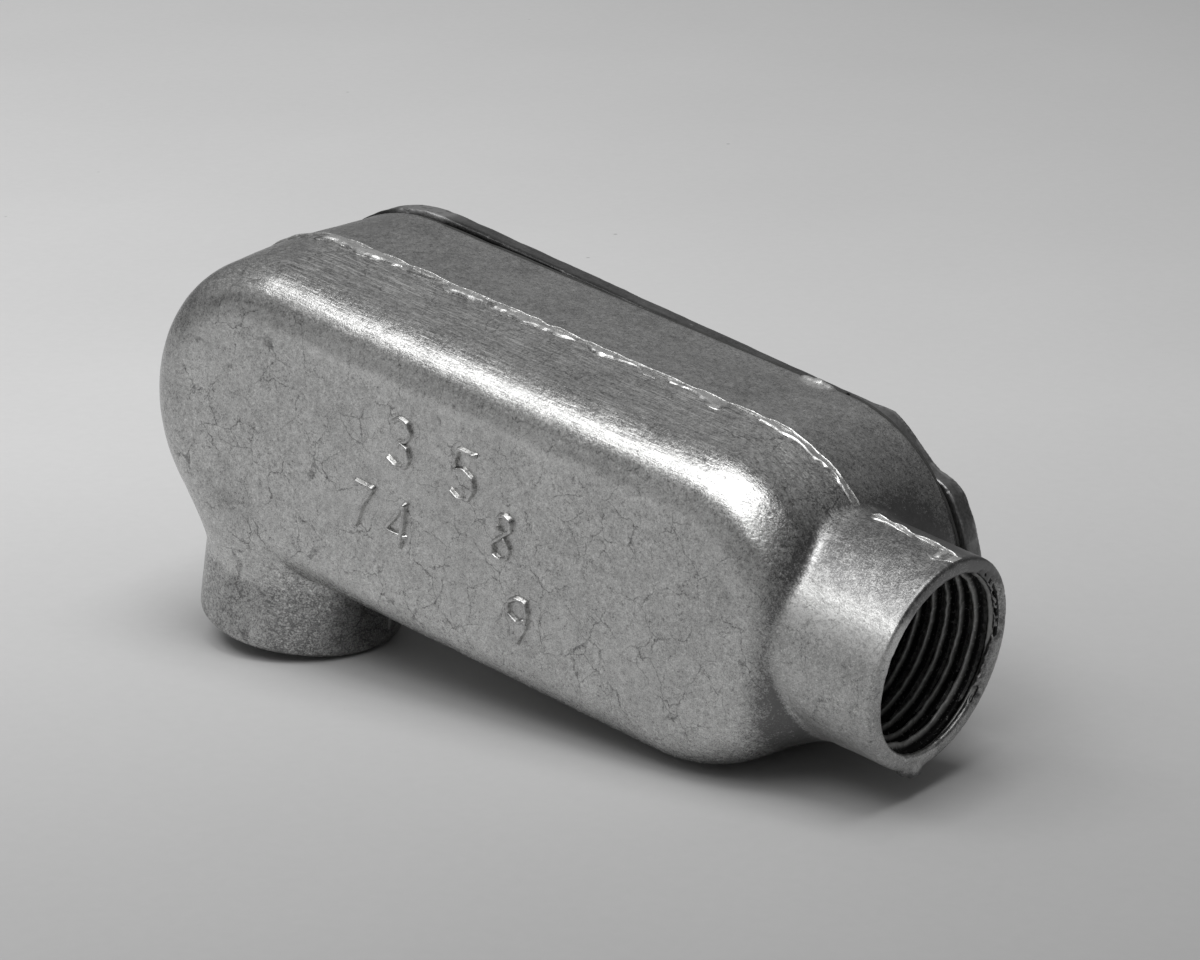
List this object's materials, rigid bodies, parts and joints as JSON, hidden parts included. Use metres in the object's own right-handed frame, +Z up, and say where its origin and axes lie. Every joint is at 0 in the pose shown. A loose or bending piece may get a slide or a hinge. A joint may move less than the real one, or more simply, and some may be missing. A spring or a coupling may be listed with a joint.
{
  "type": "conduit body",
  "caption": "Cast metal conduit body with a round-ended box, a threaded hub on one end, a threaded hub on one side and a screwed cover.",
  "frame": {"origin": "centre of the end hub's mouth, on that hub's axis", "axes": "+X out of the end hub along its axis and the body's length, -Z out of the side hub, +Y from the flat back to the cover, +Z up"},
  "size_m": [0.107, 0.0342, 0.0471],
  "materials": {
    "cast_aluminium": "as cast, dull grey with fine dark cracks in the skin, worn brighter along the top of the back edge and the mould flash",
    "cover_aluminium": "darker, smooth and half gloss, with nicks in its edge",
    "gasket_rubber": "black, dull",
    "screw_steel": "plated, dulled"
  },
  "bodies": {
    "root": {"body_casting": "cast_aluminium", "cover_gasket": "gasket_rubber", "cover_plate": "cover_aluminium", "cover_screw_hub_end": "screw_steel", "cover_screw_far_end": "screw_steel"}
  },
  "joints": []
}
